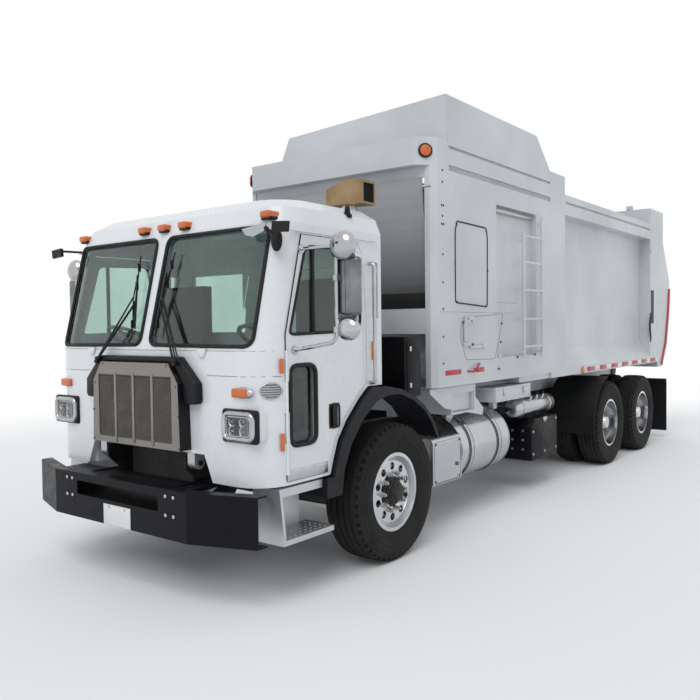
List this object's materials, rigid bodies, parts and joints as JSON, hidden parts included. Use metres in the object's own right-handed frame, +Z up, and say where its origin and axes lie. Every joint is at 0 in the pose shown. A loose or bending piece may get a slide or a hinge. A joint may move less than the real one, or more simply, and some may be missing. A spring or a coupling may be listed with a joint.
{
  "type": "automated side-loading garbage truck",
  "caption": "Three-axle cab-over garbage truck with tilting cab, side lift arm and gripper, packer, tipping refuse body and rear tailgate.",
  "frame": {"origin": "on the ground below the centre of the truck's outer box", "axes": "+Y runs from the bumper to the tailgate, +X is the truck's left side, +Z is up"},
  "size_m": [3.2, 9.66, 3.7848],
  "materials": {
    "white_paint": "satin white paint",
    "chassis_black": "satin black paint",
    "bumper_black": "gloss dark blue-black paint",
    "stainless": "brushed stainless steel",
    "chrome": "polished chrome",
    "tank_aluminium": "brushed aluminium",
    "wheel_aluminium": "polished aluminium",
    "cast_black": "painted casting",
    "tyre": "matte black",
    "flare_plastic": "moulded dark plastic",
    "trim_black": "matte black",
    "glass": "green tinted glass",
    "amber": "translucent amber lens",
    "red": "gloss red",
    "seat_cloth": "woven grey cloth",
    "interior_grey": "moulded grey plastic",
    "tan_steel": "heat-tinted steel",
    "lamp_chrome": "bright bezel with clear lens"
  },
  "bodies": {
    "chassis": {"frame": "chassis_black", "bumper": "bumper_black", "engine": "cast_black", "fenders": "flare_plastic", "steps": "tank_aluminium", "fuel_tank": "tank_aluminium", "equipment_boxes": "chassis_black", "exhaust_stack": "tan_steel", "tow_eyes": "cast_black", "mud_flaps": "trim_black", "front_axle": "cast_black", "rear_axles": "cast_black", "arm_housing": "white_paint"},
    "cab": {"cab_shell": "white_paint", "engine_cover": "interior_grey", "cab_glass": "glass", "grille": "stainless", "grille_surround": "trim_black", "headlamps": "lamp_chrome", "tilt_brackets": "tank_aluminium", "seats": "seat_cloth", "cab_interior": "interior_grey", "amber_lamps": "amber", "grab_rails": "chrome", "cab_trim": "trim_black"},
    "door_left": {"door_left": "white_paint", "door_glass_left": "glass", "mirror_left": "chrome"},
    "door_right": {"door_right": "white_paint", "door_glass_right": "glass", "mirror_right": "chrome"},
    "knuckle_left": {"knuckle_left": "cast_black"},
    "knuckle_right": {"knuckle_right": "cast_black"},
    "front_wheel_left": {"front_tyre_left": "tyre", "front_rim_left": "wheel_aluminium"},
    "front_wheel_right": {"front_tyre_right": "tyre", "front_rim_right": "wheel_aluminium"},
    "drive1_wheels_left": {"drive1_tyres_left": "tyre", "drive1_rims_left": "wheel_aluminium"},
    "drive1_wheels_right": {"drive1_tyres_right": "tyre", "drive1_rims_right": "wheel_aluminium"},
    "drive2_wheels_left": {"drive2_tyres_left": "tyre", "drive2_rims_left": "wheel_aluminium"},
    "drive2_wheels_right": {"drive2_tyres_right": "tyre", "drive2_rims_right": "wheel_aluminium"},
    "refuse_body": {"hopper": "white_paint", "store_body": "white_paint", "body_lamps": "amber"},
    "hoist_barrel": {"hoist_barrels": "chassis_black"},
    "hoist_rod": {"hoist_rods": "chrome"},
    "tailgate": {"tailgate": "white_paint", "prop_bars": "red"},
    "packer": {"packer": "white_paint"},
    "arm_slide": {"arm_slide": "white_paint"},
    "lift_arm": {"lift_arm": "white_paint"},
    "finger_front": {"finger_front": "chassis_black"},
    "finger_rear": {"finger_rear": "chassis_black"}
  },
  "joints": [
    {"name": "cab_tilt", "type": "hinge", "parent": "chassis", "child": "cab", "pos_m": [0, -4.53, 0.88], "axis": [1, 0, 0], "range_deg": [0, 45]},
    {"name": "door_left_swing", "type": "hinge", "parent": "cab", "child": "door_left", "pos_m": [1.174, -4.355, 1.6], "axis": [0, 0, -1], "range_deg": [0, 65]},
    {"name": "door_right_swing", "type": "hinge", "parent": "cab", "child": "door_right", "pos_m": [-1.174, -4.355, 1.6], "axis": [0, 0, 1], "range_deg": [0, 65]},
    {"name": "steer_left", "type": "hinge", "parent": "chassis", "child": "knuckle_left", "pos_m": [0.85, -3.187, 0.525], "axis": [0, 0, 1], "range_deg": [-35, 35]},
    {"name": "steer_right", "type": "hinge", "parent": "chassis", "child": "knuckle_right", "pos_m": [-0.85, -3.187, 0.525], "axis": [0, 0, 1], "range_deg": [-35, 35]},
    {"name": "front_wheel_left_spin", "type": "hinge", "parent": "knuckle_left", "child": "front_wheel_left", "pos_m": [1.08, -3.187, 0.525], "axis": [1, 0, 0], "continuous": true},
    {"name": "front_wheel_right_spin", "type": "hinge", "parent": "knuckle_right", "child": "front_wheel_right", "pos_m": [-1.08, -3.187, 0.525], "axis": [1, 0, 0], "continuous": true},
    {"name": "drive1_wheels_left_spin", "type": "hinge", "parent": "chassis", "child": "drive1_wheels_left", "pos_m": [0.9115, 1.702, 0.525], "axis": [1, 0, 0], "continuous": true},
    {"name": "drive1_wheels_right_spin", "type": "hinge", "parent": "chassis", "child": "drive1_wheels_right", "pos_m": [-0.9115, 1.702, 0.525], "axis": [1, 0, 0], "continuous": true},
    {"name": "drive2_wheels_left_spin", "type": "hinge", "parent": "chassis", "child": "drive2_wheels_left", "pos_m": [0.9115, 3.045, 0.525], "axis": [1, 0, 0], "continuous": true},
    {"name": "drive2_wheels_right_spin", "type": "hinge", "parent": "chassis", "child": "drive2_wheels_right", "pos_m": [-0.9115, 3.045, 0.525], "axis": [1, 0, 0], "continuous": true},
    {"name": "body_tip", "type": "hinge", "parent": "chassis", "child": "refuse_body", "pos_m": [0, 4.12, 1.05], "axis": [-1, 0, 0], "range_deg": [0, 45]},
    {"name": "hoist_swing", "type": "hinge", "parent": "chassis", "child": "hoist_barrel", "pos_m": [0, 1.22, 0.8], "axis": [1, 0, 0], "range_deg": [0, 26.23]},
    {"name": "hoist_extend", "type": "slide", "parent": "hoist_barrel", "child": "hoist_rod", "axis": [0, 0.9776, 0.2106], "range_m": [0, 0.948]},
    {"name": "tailgate_lift", "type": "hinge", "parent": "refuse_body", "child": "tailgate", "pos_m": [0, 4.09, 3.56], "axis": [1, 0, 0], "range_deg": [0, 85]},
    {"name": "packer_swing", "type": "hinge", "parent": "refuse_body", "child": "packer", "pos_m": [0, -0.73, 3.05], "axis": [1, 0, 0], "range_deg": [0, 50]},
    {"name": "arm_reach", "type": "slide", "parent": "chassis", "child": "arm_slide", "axis": [-1, 0, 0], "range_m": [0, 1.2]},
    {"name": "arm_lift", "type": "hinge", "parent": "arm_slide", "child": "lift_arm", "pos_m": [-1.205, -1.63, 1.8], "axis": [0, 1, 0], "range_deg": [0, 165]},
    {"name": "finger_front_close", "type": "hinge", "parent": "lift_arm", "child": "finger_front", "pos_m": [-1.205, -1.94, 0.75], "axis": [0, 0, -1], "range_deg": [0, 85]},
    {"name": "finger_rear_close", "type": "hinge", "parent": "lift_arm", "child": "finger_rear", "pos_m": [-1.205, -1.38, 0.75], "axis": [0, 0, 1], "range_deg": [0, 85]}
  ],
  "couplings": [
    {"joint": "steer_right", "follows": "steer_left", "ratio": 1},
    {"joint": "hoist_swing", "follows": "body_tip", "ratio": 0.5762},
    {"joint": "hoist_extend", "follows": "body_tip", "m_per_rad": 1.2021},
    {"joint": "finger_rear_close", "follows": "finger_front_close", "ratio": 1}
  ]
}
